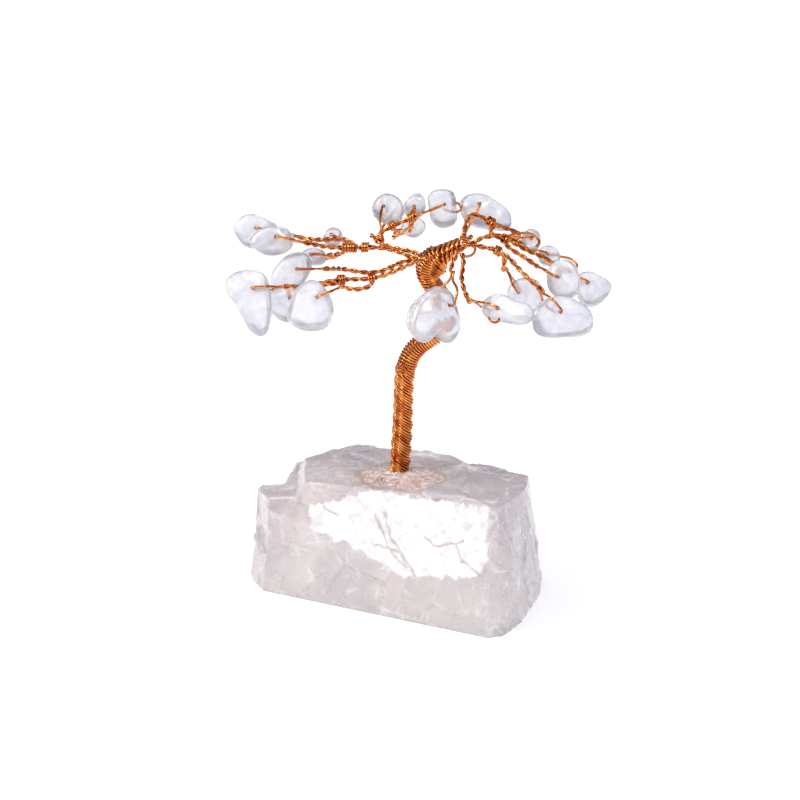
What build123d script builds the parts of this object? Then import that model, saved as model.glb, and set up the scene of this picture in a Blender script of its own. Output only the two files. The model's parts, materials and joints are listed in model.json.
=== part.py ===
from build123d import *
import math
import os

# Gemstone tree: drilled quartz chips on twisted copper twigs, a wound trunk and a rough quartz base.
# Millimetres and degrees. The origin is the centre of the base's underside, +X runs along the base and
# +Z is up. The crown is turned about the trunk: across is its long spread, back is square to that.

# Copper wire
wire_d = 0.5
pair_gap = 0.12
twist_pitch = 3.7
rest_gap = 0.08

# Base stone: a rough block, cut by cleavage planes, with a drilled socket for the trunk
base_length = 54.0
base_depth = 30.5
base_height = 25.0
foot_x = -0.3
foot_y = -1.5
socket_depth = 9.0
socket_clearance = 0.12

# Mound of glue and grit round the foot of the trunk
mound_d = 11.0
mound_rise = 1.0

# Trunk: a core made of the wires' tails, with wires laid and wound round it
core_d = 2.8
trunk_rise = 41.5
trunk_sway = 9.0
spine_reach = 6.0
lay_count = 8
lay_pitch = 7.5
knee_wrap_turns = 14
crown_wrap_turns = 2

# Crown
crown_turn = 24.6
crown_reach = 36.0
crown_lift = 10.0

# Drilled chips and the wire loops that hold them
chip_size = 10.0
hole_clearance = 0.08
loop_stand = 0.25
loop_bend = 0.7
neck_clearance = 1.3

# Worked out from the values above
wire_r = wire_d / 2
pair_offset = (wire_d + pair_gap) / 2
pair_r = pair_offset + wire_r
core_r = core_d / 2
hole_r = wire_r + hole_clearance
socket_r = core_r + rest_gap + wire_d + socket_clearance

# Counts for routes and windings
quarters_per_turn = 4
steps_per_quarter = 6
core_sections = 80

# Cleavage planes of the base: bearing and lean of the outward normal
cleavage_angles = {
    "front": (-90, 3), "bright_front": (-88, 17), "right_front": (-9, 6), "right_middle": (5, 7),
    "right_back": (18, 8), "back": (90, 8), "left": (175, 4), "left_corner": (229, 5),
    "near_corner": (-48, 4), "top": (150, 85.4), "top_back_left": (150, 55), "top_left": (200, 65),
    "top_back_right": (60, 55),
}

# Reach of each plane as a share of the plain block's reach that way
cleavage_shares = {
    "front": 0.91, "bright_front": 0.745, "right_front": 0.89, "right_middle": 0.855, "right_back": 0.79,
    "back": 0.79, "left": 0.93, "left_corner": 0.86, "near_corner": 0.88, "top": 0.80,
    "top_back_left": 0.705, "top_left": 0.84, "top_back_right": 0.785,
}

# Pieces broken out of the block, each between a floor plane and a riser plane
break_angles = {"left_ledge": ((200, 80), (205, 30)), "back_scoop": ((60, 80), (30, 40))}
break_shares = {"left_ledge": (0.666, 0.678), "back_scoop": (0.797, 0.541)}

# The crown is measured from a point over the trunk, at this share of its sway
crown_share = 0.52

# How far a loop runs straight along its chip's face, as a share of the way to the chip's edge
shoulder_share = 0.62

# Trunk route from the foot to the crown: across and back as shares of the sway, up as a share of the rise
trunk_route_shares = [
    (0.0, 0.0, 0.0),
    (0.04, 0.0, 0.15),
    (0.07, 0.0, 0.30),
    (0.09, 0.0, 0.43),
    (0.18, 0.03, 0.55),
    (0.42, 0.10, 0.62),
    (0.79, 0.16, 0.67),
    (1.0, 0.20, 0.735),
    (0.95, 0.16, 0.81),
    (0.76, 0.07, 0.89),
    (0.60, 0.01, 0.96),
]

# Spine from the crown's first fork to its second: shares of the spine's reach from the trunk's top
spine_route_shares = [(0.08, 0.02, 0.36), (0.43, 0.07, 0.69), (1.0, 0.15, 1.0)]

# Thickness of the core along its length: it swells into a collar where the first twigs leave it
core_swell_shares = [(0.0, 1.0), (0.825, 1.0), (0.85, 1.08), (0.875, 1.45), (0.9, 1.85), (0.925, 1.22),
                     (0.975, 1.22), (1.0, 1.0)]

# Where the lay ends and the wraps begin and end, as shares of the whole core's length
lay_shares = (0.016, 0.455)
knee_wrap_shares = (0.47, 0.862)
crown_wrap_shares = (0.937, 0.972)

# Chips: hole place from the crown's point (across, back in crown reaches, up in crown lifts), thickness and
# outline about the hole (right, up, seen from the drilled face) in chip sizes
chip_shares = {
    "back_left": {
        "place": (-0.208, 0.348, 0.81), "thick": 0.40,
        "outline": [(-0.17, 0.18), (0.17, 0.24), (0.34, 0.08), (0.27, -0.32), (-0.04, -0.34), (-0.25, -0.1)]},
    "back_upper": {
        "place": (-0.06, 0.46, 0.67), "thick": 0.40,
        "outline": [(-0.21, -0.04), (-0.08, 0.2), (0.1, 0.28), (0.23, 0.2), (0.22, -0.12), (-0.06, -0.26)]},
    "back_lower": {
        "place": (-0.06, 0.64, 0.06), "thick": 0.34,
        "outline": [(-0.25, 0.04), (-0.13, 0.17), (0.13, 0.18), (0.26, 0.06), (0.14, -0.18), (-0.13, -0.18)]},
    "back_middle": {
        "place": (0.10, 0.28, 0.92), "thick": 0.46,
        "outline": [(-0.31, 0.02), (-0.21, 0.26), (0.0, 0.3), (0.19, 0.24), (0.25, 0.0), (0.21, -0.38),
                    (0.0, -0.46), (-0.23, -0.32)]},
    "back_right": {
        "place": (0.28, 0.48, 0.68), "thick": 0.52,
        "outline": [(-0.33, -0.04), (-0.25, 0.18), (-0.06, 0.26), (0.15, 0.24), (0.44, 0.04), (0.69, -0.3),
                    (0.62, -0.52), (0.33, -0.52), (-0.06, -0.42), (-0.27, -0.26)]},
    "left_tip": {
        "place": (-0.875, 0.22, 0.50), "thick": 0.48,
        "outline": [(-0.52, 0.02), (-0.4, 0.2), (-0.19, 0.3), (0.08, 0.24), (0.42, 0.02), (0.35, -0.22),
                    (0.0, -0.4), (-0.23, -0.36), (-0.44, -0.16)]},
    "left_inner": {
        "place": (-0.78, -0.015, 0.62), "thick": 0.46,
        "outline": [(-0.48, -0.04), (-0.31, 0.14), (-0.02, 0.22), (0.23, 0.18), (0.37, -0.04), (0.31, -0.22),
                    (0.1, -0.34), (-0.19, -0.34), (-0.4, -0.22)]},
    "left_small": {
        "place": (-0.49, 0.33, 0.25), "thick": 0.34,
        "outline": [(-0.19, -0.08), (-0.13, 0.1), (-0.02, 0.18), (0.13, 0.14), (0.21, -0.02), (0.15, -0.18),
                    (-0.06, -0.2)]},
    "left_middle": {
        "place": (-0.68, 0.11, -0.16), "thick": 0.48,
        "outline": [(-0.5, -0.32), (-0.46, -0.04), (-0.29, 0.18), (0.0, 0.32), (0.25, 0.26), (0.33, 0.1),
                    (0.21, -0.2), (0.04, -0.4), (-0.27, -0.46)]},
    "left_rear": {
        "place": (-0.595, 0.28, -0.11), "thick": 0.36,
        "outline": [(-0.27, -0.04), (-0.17, 0.13), (0.06, 0.18), (0.25, 0.08), (0.26, -0.1), (0.06, -0.2),
                    (-0.17, -0.17)]},
    "front_left_tip": {
        "place": (-0.87, -0.26, -0.10), "thick": 0.46,
        "outline": [(-0.64, 0.04), (-0.52, 0.28), (-0.18, 0.4), (0.12, 0.34), (0.3, 0.08), (0.38, -0.32),
                    (0.37, -0.72), (0.23, -0.94), (0.04, -0.9), (-0.19, -0.62), (-0.44, -0.3)]},
    "front_left_round": {
        "place": (-0.56, -0.35, -0.15), "thick": 0.52,
        "outline": [(-0.58, -0.3), (-0.44, 0.1), (-0.23, 0.32), (0.02, 0.34), (0.23, 0.14), (0.33, -0.12),
                    (0.29, -0.42), (0.08, -0.62), (-0.19, -0.64), (-0.44, -0.54)]},
    "front_left_flat": {
        "place": (-0.71, -0.11, -0.46), "thick": 0.40,
        "outline": [(-0.42, -0.08), (-0.31, 0.16), (-0.06, 0.24), (0.19, 0.18), (0.25, -0.08), (0.12, -0.42),
                    (-0.1, -0.46), (-0.31, -0.32)]},
    "heart": {
        "place": (0.10, -0.235, -0.44), "thick": 0.64,
        "outline": [(-0.83, -0.3), (-0.73, 0.04), (-0.47, 0.26), (-0.08, 0.38), (0.14, 0.26), (0.25, -0.06),
                    (0.28, -0.34), (0.19, -0.62), (0.0, -0.74), (-0.15, -0.68), (-0.27, -0.52),
                    (-0.42, -0.64), (-0.63, -0.62), (-0.75, -0.48)]},
    "right_rear_small": {
        "place": (0.57, 0.43, 0.05), "thick": 0.36,
        "outline": [(-0.21, -0.1), (-0.13, 0.14), (0.04, 0.22), (0.19, 0.12), (0.21, -0.1), (0.08, -0.24),
                    (-0.13, -0.24)]},
    "right_rear": {
        "place": (0.66, 0.28, -0.09), "thick": 0.36,
        "outline": [(-0.2, 0.02), (-0.1, 0.18), (0.1, 0.18), (0.23, 0.04), (0.21, -0.14), (0.02, -0.22),
                    (-0.15, -0.16)]},
    "right_upper": {
        "place": (0.70, -0.03, -0.15), "thick": 0.48,
        "outline": [(-0.25, 0.0), (-0.12, 0.28), (0.1, 0.36), (0.31, 0.24), (0.4, -0.04), (0.35, -0.34),
                    (0.08, -0.44), (-0.17, -0.28)]},
    "right_tip": {
        "place": (0.855, 0.22, -0.59), "thick": 0.44,
        "outline": [(-0.19, -0.02), (-0.1, 0.2), (0.08, 0.24), (0.31, 0.14), (0.54, -0.08), (0.48, -0.24),
                    (0.19, -0.46), (-0.02, -0.46), (-0.15, -0.28)]},
    "front_right_long": {
        "place": (0.358, -0.375, -0.35), "thick": 0.46,
        "outline": [(-0.27, 0.04), (-0.15, 0.24), (0.1, 0.3), (0.38, 0.16), (0.63, 0.06), (0.71, -0.12),
                    (0.58, -0.3), (0.31, -0.3), (0.0, -0.22), (-0.21, -0.12)]},
    "front_right_inner": {
        "place": (0.495, -0.02, -0.47), "thick": 0.44,
        "outline": [(-0.25, -0.02), (-0.13, 0.22), (0.12, 0.3), (0.37, 0.22), (0.48, -0.06), (0.4, -0.36),
                    (0.17, -0.52), (-0.1, -0.38)]},
    "front_right_large": {
        "place": (0.686, -0.222, -0.61), "thick": 0.54,
        "outline": [(-0.52, -0.12), (-0.42, 0.16), (-0.19, 0.3), (0.15, 0.3), (0.5, 0.14), (0.67, -0.12),
                    (0.62, -0.36), (0.37, -0.48), (0.0, -0.48), (-0.33, -0.44), (-0.5, -0.3)]},
}

# The way each drilled face looks: bearing round from the front towards the right, then upward tilt
chip_facing_angles = {
    "back_left": (-12, 20), "back_upper": (8, 24), "back_lower": (-8, 20), "back_middle": (6, 20),
    "back_right": (14, 28), "left_tip": (-14, 24), "left_inner": (8, 20), "left_small": (-10, 25),
    "left_middle": (10, 18), "left_rear": (-14, 28), "front_left_tip": (-14, 24),
    "front_left_round": (12, 22), "front_left_flat": (14, 18), "heart": (24, 16),
    "right_rear_small": (16, 28), "right_rear": (-8, 28), "right_upper": (-12, 20), "right_tip": (16, 22),
    "front_right_long": (8, 26), "front_right_inner": (-10, 18), "front_right_large": (10, 24),
}

# A tumbled chip's sections through its thickness: height in thicknesses, then size of the outline there
pebble_shares = [(-0.46, 0.53), (-0.38, 0.77), (-0.25, 0.93), (0.0, 1.0), (0.25, 0.93), (0.38, 0.77),
                 (0.46, 0.53)]

# Twigs that leave the core's side: place as a share of the core's length, way out, then the route
side_twig_shares = {
    "left_inner": (0.912, (-0.80, 0.05, 0.60), [(-0.20, 0.06, 0.31), (-0.40, 0.08, 0.30),
                                                (-0.54, 0.05, 0.37)]),
    "back_middle": (0.918, (-0.40, 0.85, 0.35), [(-0.21, 0.12, 0.31), (-0.242, 0.18, 0.38),
                                                 (-0.214, 0.222, 0.47), (-0.153, 0.242, 0.57),
                                                 (-0.078, 0.258, 0.67)]),
    "left_middle": (0.882, (-0.95, 0.10, -0.10), [(-0.236, 0.0, -0.07), (-0.43, 0.03, -0.06)]),
    "front_left_tip": (0.905, (-0.70, -0.70, -0.10), [(-0.235, -0.06, -0.10), (-0.42, -0.115, -0.09),
                                                      (-0.545, -0.17, -0.10), (-0.64, -0.21, -0.12)]),
    "heart": (0.98, (-0.35, -0.85, -0.25), [(0.135, -0.14, 0.11)]),
    "front_right_long": (0.99, (0.30, -0.80, -0.55), [(0.19, -0.14, 0.03), (0.20, -0.22, -0.15),
                                                      (0.225, -0.31, -0.28)]),
}

# Twigs that leave the core's end in a ring: bearing in the ring from upright, and the routes
end_twig_angles = {"right_rear_small": 20, "back_right": 110, "right_tip": 200, "front_right_inner": 290}
end_twig_shares = {
    "right_rear_small": [(0.21, 0.085, 0.69), (0.245, 0.14, 0.88), (0.32, 0.16, 0.77), (0.42, 0.21, 0.54),
                         (0.50, 0.30, 0.29)],
    "back_right": [(0.245, 0.16, 0.42)],
    "right_tip": [(0.32, 0.05, 0.55), (0.425, 0.085, 0.46), (0.53, 0.11, 0.23), (0.635, 0.12, 0.04)],
    "front_right_inner": [(0.29, -0.045, 0.47), (0.36, -0.065, 0.44), (0.405, -0.078, 0.32),
                          (0.405, -0.072, 0.08)],
}

# Twigs that leave another twig: the twig, place as a share of its length, way out, then the route
branch_twig_shares = {
    "left_tip": ("left_inner", 0.56, (-0.10, 0.80, 0.55), [(-0.53, 0.165, 0.36), (-0.65, 0.20, 0.36)]),
    "left_small": ("left_inner", 0.46, (0.10, 0.90, -0.40), [(-0.41, 0.24, 0.22)]),
    "left_rear": ("left_inner", 0.62, (-0.10, 0.50, -0.85), [(-0.50, 0.20, 0.0)]),
    "back_left": ("back_middle", 0.50, (-0.80, 0.30, 0.50), [(-0.245, 0.265, 0.25)]),
    "back_upper": ("back_middle", 0.93, (0.0, 0.80, 0.60), [(-0.06, 0.36, 0.58)]),
    "back_lower": ("back_middle", 0.72, (0.0, 0.30, -0.95), [(-0.153, 0.36, 0.26), (-0.13, 0.53, 0.09)]),
    "front_left_round": ("front_left_tip", 0.40, (0.10, -0.75, -0.65), [(-0.43, -0.20, -0.12)]),
    "front_left_flat": ("front_left_tip", 0.60, (-0.10, 0.75, -0.65), [(-0.57, -0.11, -0.20)]),
    "right_rear": ("right_rear_small", 0.44, (0.55, -0.70, -0.45), [(0.35, 0.15, 0.58), (0.44, 0.18, 0.37),
                                                                   (0.52, 0.215, 0.19)]),
    "right_upper": ("right_tip", 0.36, (0.10, -0.80, -0.60), [(0.52, 0.03, 0.17), (0.585, 0.0, 0.03)]),
    "front_right_large": ("front_right_inner", 0.48, (0.55, -0.85, 0.0), [(0.461, -0.145, 0.25),
                                                                      (0.522, -0.203, 0.07),
                                                                      (0.60, -0.228, -0.17)]),
}


# Places and directions

across = Vector(1, 0, 0).rotate(Axis.Z, crown_turn)
back = Vector(0, 1, 0).rotate(Axis.Z, crown_turn)
up = Vector(0, 0, 1)
foot = Vector(foot_x, foot_y, base_height)


def way(shares):
    """A direction given across, back and up."""
    return (across * shares[0] + back * shares[1] + up * shares[2]).normalized()


def looks(bearing, tilt):
    """The direction a face looks: bearing from the front towards the right, then upward."""
    level = across * math.sin(math.radians(bearing)) - back * math.cos(math.radians(bearing))
    return level * math.cos(math.radians(tilt)) + up * math.sin(math.radians(tilt))


def trunk_point(shares):
    return foot + (across * shares[0] + back * shares[1]) * trunk_sway + up * shares[2] * trunk_rise


trunk_top = trunk_point(trunk_route_shares[-1])


def spine_point(shares):
    return trunk_top + (across * shares[0] + back * shares[1] + up * shares[2]) * spine_reach


def crown_point(shares):
    level = (across * shares[0] + back * shares[1]) * crown_reach
    return trunk_point((crown_share, 0, 1)) + level + up * shares[2] * crown_lift


# Wire

def biarc(start, start_way, end, end_way):
    """Two tangent arcs, or a line, from one point and direction to another."""
    span = end - start
    ways = start_way + end_way
    turn = 1 - start_way.dot(end_way)
    if turn < 1e-9:
        reach = span.dot(span) / (2 * span.dot(ways))
    else:
        reach = (math.sqrt(span.dot(ways) ** 2 + 2 * turn * span.dot(span)) - span.dot(ways)) / (2 * turn)
    first = start + start_way * reach
    second = end - end_way * reach
    middle = (first + second) * 0.5
    middle_way = (second - first).normalized()
    return [arc_or_line(start, start_way, middle), arc_or_line(middle, middle_way, end)]


def arc_or_line(start, start_way, end):
    if (end - start).normalized().dot(start_way) > 1 - 1e-9:
        return Line(start, end)
    return TangentArc(start, end, tangent=start_way)


def wire(stations):
    """One round wire through a list of points and directions."""
    edges = []
    for (start, start_way), (end, end_way) in zip(stations, stations[1:]):
        edges += biarc(start, start_way, end, end_way)
    path = Wire(edges)
    return sweep(Plane(origin=stations[0][0], z_dir=stations[0][1]) * Circle(wire_r), path=path)


def frames(axis, begin, end, steps, last_side):
    """Points along an axis with their direction and a side vector that doesn't twist, square to it."""
    found = []
    side = last_side
    for step in reversed(range(steps + 1)):
        along = begin + (end - begin) * step / steps
        ahead = (axis % along).normalized()
        side = (side - ahead * side.dot(ahead)).normalized()
        found.append((axis @ along, ahead, side))
    return found[::-1]


def helix(axis, begin, end, radius_at, turns, steps, last_side, hand, phase):
    """Points of a helix round a stretch of an axis, at a radius that may change along it."""
    points = []
    for step, (point, ahead, side) in enumerate(frames(axis, begin, end, steps, last_side)):
        angle = math.radians(phase) + hand * 2 * math.pi * turns * (step - steps) / steps
        radius = radius_at(begin + (end - begin) * step / steps)
        points.append(point + (side * math.cos(angle) + ahead.cross(side) * math.sin(angle)) * radius)
    return points


def winding(axis, begin, end, radius_at, turns, last_side, hand, phase):
    """Points and directions of a helix, a quarter turn apart."""
    quarters = max(1, round(turns * quarters_per_turn))
    steps = quarters * steps_per_quarter
    points = helix(axis, begin, end, radius_at, turns, steps, last_side, hand, phase)
    stations = []
    for step in range(0, steps + 1, steps_per_quarter):
        before, after = points[max(step - 1, 0)], points[min(step + 1, steps)]
        stations.append((points[step], (after - before).normalized()))
    return stations


def self_gap(axis, begin, end, radius_at, turns, last_side, hand):
    """The least gap between one turn of a winding and the next, measured on points."""
    steps_per_turn = quarters_per_turn * steps_per_quarter
    steps = round(turns * steps_per_turn)
    points = helix(axis, begin, end, radius_at, turns, steps, last_side, hand, 0)
    least = min((points[i] - points[j]).length for i in range(len(points))
                for j in range(i + steps_per_turn // 2, min(i + 2 * steps_per_turn, len(points))))
    return least - wire_d


# Base stone

def cleavage_plane(angles, reach_share):
    """A plane square to a bearing and lean, at a share of the plain block's reach from its middle."""
    bearing, lean = angles
    level = math.cos(math.radians(lean))
    normal = Vector(math.cos(math.radians(bearing)) * level, math.sin(math.radians(bearing)) * level,
                    math.sin(math.radians(lean)))
    reach = (abs(normal.X) * base_length + abs(normal.Y) * base_depth + abs(normal.Z) * base_height) / 2
    middle = Vector(0, 0, base_height / 2)
    return Plane(origin=middle + normal * reach * reach_share, z_dir=normal)


def base_stone():
    stone = Pos(0, 0, base_height) * Box(base_length * 2, base_depth * 2, base_height * 2)
    for name, angles in cleavage_angles.items():
        stone = split(stone, cleavage_plane(angles, cleavage_shares[name]), keep=Keep.BOTTOM)
    for name, planes in break_angles.items():
        broken = stone
        for angles, reach_share in zip(planes, break_shares[name]):
            broken = split(broken, cleavage_plane(angles, reach_share), keep=Keep.TOP)
        stone = stone - broken
    socket = Cylinder(socket_r, socket_depth + base_height, align=(Align.CENTER, Align.CENTER, Align.MIN))
    return stone - Pos(foot_x, foot_y, base_height - socket_depth) * socket


def root_mound():
    """A low dome on the top cleavage, round the foot of the trunk."""
    dome_r = ((mound_d / 2) ** 2 + mound_rise ** 2) / (2 * mound_rise)
    seat = cleavage_plane(cleavage_angles["top"], cleavage_shares["top"])
    seat_z = seat.origin.Z - ((foot_x - seat.origin.X) * seat.z_dir.X
                              + (foot_y - seat.origin.Y) * seat.z_dir.Y) / seat.z_dir.Z
    dome = Pos(foot_x, foot_y, seat_z + mound_rise - dome_r) * Sphere(dome_r)
    dome = split(dome, seat, keep=Keep.TOP)
    return dome - Pos(foot_x, foot_y, base_height) * Cylinder(socket_r, base_height)


# Trunk

core_points = [trunk_point(shares) for shares in trunk_route_shares]
core_points += [spine_point(shares) for shares in spine_route_shares]
core_axis = Spline(foot - up * (socket_depth - wire_r), *core_points)
core_side = back


def core_radius(along):
    """The core's radius at a share of its length."""
    for (begin, begin_swell), (end, end_swell) in zip(core_swell_shares, core_swell_shares[1:]):
        if along <= end:
            return core_r * (begin_swell + (end_swell - begin_swell) * (along - begin) / (end - begin))
    return core_r * core_swell_shares[-1][1]


def wind_radius(along):
    """The radius of a wire that is wound on the core, at a share of the core's length."""
    return core_radius(along) + rest_gap + wire_r


def trunk_core():
    sections = []
    for step, (point, ahead, side) in enumerate(frames(core_axis, 0, 1, core_sections, core_side)):
        radius = core_radius(step / core_sections)
        sections.append(Plane(origin=point, x_dir=side, z_dir=ahead) * Circle(radius))
    return loft(sections, ruled=True)


def trunk_lay():
    """Left-hand wires round the straight of the trunk, evenly spaced."""
    begin, end = lay_shares
    turns = core_axis.length * (end - begin) / lay_pitch
    strands = []
    for number in range(lay_count):
        phase = 360 * number / lay_count
        strands.append(wire(winding(core_axis, begin, end, wind_radius, turns, core_side, -1, phase)))
    return Compound(children=[strand.solid() for strand in strands])


def wrap(stretch_shares, turns, name):
    begin, end = stretch_shares
    gap = self_gap(core_axis, begin, end, wind_radius, turns, core_side, -1)
    print(name, "least gap to itself", round(gap, 3))
    return wire(winding(core_axis, begin, end, wind_radius, turns, core_side, -1, 0))


# Chips

class Chip:
    """Place, frame and sizes of one drilled chip."""

    def __init__(self, name):
        shares = chip_shares[name]
        self.hole = crown_point(shares["place"])
        self.axis = looks(*chip_facing_angles[name])
        self.right = up.cross(self.axis).normalized()
        self.plane = Plane(origin=self.hole, x_dir=self.right, z_dir=self.axis)
        self.thick = shares["thick"] * chip_size
        self.outline = [(x * chip_size, y * chip_size) for x, y in shares["outline"]]

    def towards(self, point):
        """The direction from the hole to a point, in the plane of the chip."""
        span = point - self.hole
        return (span - self.axis * span.dot(self.axis)).normalized()

    def edge(self, neck_way):
        """How far the chip reaches from its hole along a direction."""
        rise = self.axis.cross(self.right)
        return max(x * self.right.dot(neck_way) + y * rise.dot(neck_way) for x, y in self.outline)

    def loop_height(self):
        """How far the loop's straights stand from the middle of the chip."""
        return self.thick / 2 + loop_stand + loop_bend

    def loop_shoulder(self, neck_way):
        """How far the loop runs straight along the chip's face."""
        return max(self.edge(neck_way) * shoulder_share, loop_bend + rest_gap)

    def solid(self):
        mid_x = sum(x for x, y in self.outline) / len(self.outline)
        mid_y = sum(y for x, y in self.outline) / len(self.outline)
        sections = []
        for height_share, size_share in pebble_shares:
            points = [(mid_x + (x - mid_x) * size_share, mid_y + (y - mid_y) * size_share)
                      for x, y in self.outline]
            face = make_face(Spline(*points, periodic=True))
            sections.append(self.plane.offset(height_share * self.thick) * face)
        return loft(sections) - self.plane * Cylinder(hole_r, self.thick * 2)


# Twigs

def twig_loop(chip, neck_way):
    """Points and directions of the wire from the neck, through the chip's hole and back to the neck."""
    height = chip.loop_height()
    shoulder = chip.loop_shoulder(neck_way)
    exit_height = height - loop_bend
    there = [(shoulder, height, -neck_way), (loop_bend, height, -neck_way), (0, exit_height, -chip.axis)]
    stations = [(chip.hole + neck_way * n + chip.axis * a, heading) for n, a, heading in there]
    returns = [(0, -exit_height, -chip.axis), (loop_bend, -height, neck_way), (shoulder, -height, neck_way)]
    return stations + [(chip.hole + neck_way * n + chip.axis * a, heading) for n, a, heading in returns]


def pair_radius(along):
    """The two strands of a twig keep the same distance from its middle all along."""
    return pair_offset


class Twig:
    """One wire, folded through a chip's hole and twisted on itself back to its root."""

    def __init__(self, chip, root, root_way, route):
        self.chip = chip
        self.neck_way = chip.towards(route[-1])
        fall = chip.loop_height() - pair_offset
        clear_reach = chip.edge(self.neck_way) + neck_clearance
        neck_reach = max(clear_reach, chip.loop_shoulder(self.neck_way) + fall)
        self.neck = chip.hole + self.neck_way * neck_reach
        self.axis = Spline(root, *route, self.neck, tangents=(root_way, -self.neck_way))

    def solid(self):
        turns = self.axis.length / twist_pitch
        strand = winding(self.axis, 0, 1, pair_radius, turns, self.chip.axis, 1, 0)
        other = winding(self.axis, 0, 1, pair_radius, turns, self.chip.axis, 1, 180)
        strand[-1] = (strand[-1][0], -self.neck_way)
        other[-1] = (other[-1][0], -self.neck_way)
        homeward = [(point, -heading) for point, heading in reversed(other)]
        return wire(strand + twig_loop(self.chip, self.neck_way) + homeward)


chips = {name: Chip(name) for name in chip_shares}
twigs = {}


def grow_side_twigs():
    for name, (along, way_out, route_shares) in side_twig_shares.items():
        ahead = (core_axis % along).normalized()
        out = way(way_out)
        out = (out - ahead * out.dot(ahead)).normalized()
        root = core_axis @ along + out * (core_radius(along) + wire_d)
        twigs[name] = Twig(chips[name], root, out, [crown_point(shares) for shares in route_shares])


def grow_end_twigs():
    end = core_axis @ 1
    ahead = (core_axis % 1).normalized()
    upright = (up - ahead * up.dot(ahead)).normalized()
    ring_r = (pair_r + rest_gap / 2) * math.sqrt(2)
    for name, route_shares in end_twig_shares.items():
        side = upright.rotate(Axis(end, ahead), -end_twig_angles[name])
        root = end + ahead * wire_r + side * ring_r
        twigs[name] = Twig(chips[name], root, ahead, [crown_point(shares) for shares in route_shares])


def grow_branch_twigs():
    for name, (carrier, along, way_out, route_shares) in branch_twig_shares.items():
        axis = twigs[carrier].axis
        ahead = (axis % along).normalized()
        out = way(way_out)
        out = (out - ahead * out.dot(ahead)).normalized()
        root = axis @ along + out * (pair_r + rest_gap + pair_r)
        route = [crown_point(shares) for shares in route_shares]
        twigs[name] = Twig(chips[name], root, (ahead + out).normalized(), route)


grow_side_twigs()
grow_end_twigs()
grow_branch_twigs()


def build():
    nodes = {
        "base_stone": base_stone(),
        "root_mound": root_mound(),
        "trunk_core": trunk_core(),
        "trunk_lay": trunk_lay(),
        "knee_wrap": wrap(knee_wrap_shares, knee_wrap_turns, "knee_wrap"),
        "crown_wrap": wrap(crown_wrap_shares, crown_wrap_turns, "crown_wrap"),
    }
    for name in chips:
        nodes[name + "_chip"] = chips[name].solid()
        nodes[name + "_twig"] = twigs[name].solid()
    return nodes


if __name__ == "__main__":
    os.makedirs("parts", exist_ok=True)
    for node, shape in build().items():
        export_step(shape, f"parts/{node}.step")
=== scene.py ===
import json
import math
import random

import bmesh
import bpy
import numpy as np
from mathutils import Matrix, Vector, noise


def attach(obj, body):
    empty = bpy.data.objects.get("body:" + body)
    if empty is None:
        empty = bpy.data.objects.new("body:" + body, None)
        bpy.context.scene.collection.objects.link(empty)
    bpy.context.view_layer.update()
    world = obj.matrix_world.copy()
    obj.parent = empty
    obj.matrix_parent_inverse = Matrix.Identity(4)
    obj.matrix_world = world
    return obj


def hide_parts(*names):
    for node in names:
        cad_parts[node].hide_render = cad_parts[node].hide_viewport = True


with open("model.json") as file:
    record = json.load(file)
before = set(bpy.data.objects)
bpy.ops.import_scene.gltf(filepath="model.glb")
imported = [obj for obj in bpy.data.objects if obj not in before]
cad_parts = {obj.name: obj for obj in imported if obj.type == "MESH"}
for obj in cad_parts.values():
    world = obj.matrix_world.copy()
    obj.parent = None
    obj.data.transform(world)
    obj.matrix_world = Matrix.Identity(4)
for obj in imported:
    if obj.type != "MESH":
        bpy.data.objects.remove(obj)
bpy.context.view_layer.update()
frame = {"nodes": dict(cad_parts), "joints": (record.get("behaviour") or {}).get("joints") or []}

# A gemstone tree: tumbled quartz chips on hand-twisted copper twigs, a trunk of laid wires and a rough
# quartz base. Lengths are in metres, written as millimetres times MM.
MM = 0.001

# Wire
wire_r = 0.25 * MM
pair_offset = 0.31 * MM
twist_offset = 0.262 * MM
pair_r = 0.56 * MM
twist_pitch = 3.7 * MM

# Trunk and crown, as in the solids
foot = Vector((-0.3, -1.5, 25.0)) * MM
socket_depth = 9.0 * MM
core_r = 1.4 * MM
core_swell_shares = [(0.0, 1.0), (0.825, 1.0), (0.85, 1.08), (0.875, 1.45), (0.9, 1.85), (0.925, 1.22),
                     (0.975, 1.22), (1.0, 1.0)]
trunk_rise = 41.5 * MM
trunk_sway = 9.0 * MM
spine_reach = 6.0 * MM
crown_turn = math.radians(24.6)
crown_reach = 36.0 * MM
crown_lift = 10.0 * MM
crown_share = 0.52

# Loops through the chips
rest_gap = 0.08 * MM
hole_r = 0.36 * MM
loop_stand = 0.25 * MM
loop_bend = 0.7 * MM
neck_clearance = 1.3 * MM
shoulder_share = 0.62
pebble_share = 0.92
loop_slack_share = 1.15

# Turns of a twig's own wire round the twig that carries it
tie_pitch = 0.5 * MM
first_tie = 1.7
second_tie = -0.8

# How a chip is worn: flats ground on its faces to a depth in millimetres, then a soft skin whose waves have a
# length and a height in millimetres
flat_count = 6
flat_tilt = 0.6
flat_depths = (0.10, 0.45)
flat_wear_share = 0.8
skin_waves = [(3.6 * MM, 0.2), (1.3 * MM, 0.02)]
skin_loss = 0.12

# Chips that are ground a little smaller than their solids
trim_shares = {"front_left_tip": 0.92, "heart": 0.97, "front_left_round": 0.97}

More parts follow.
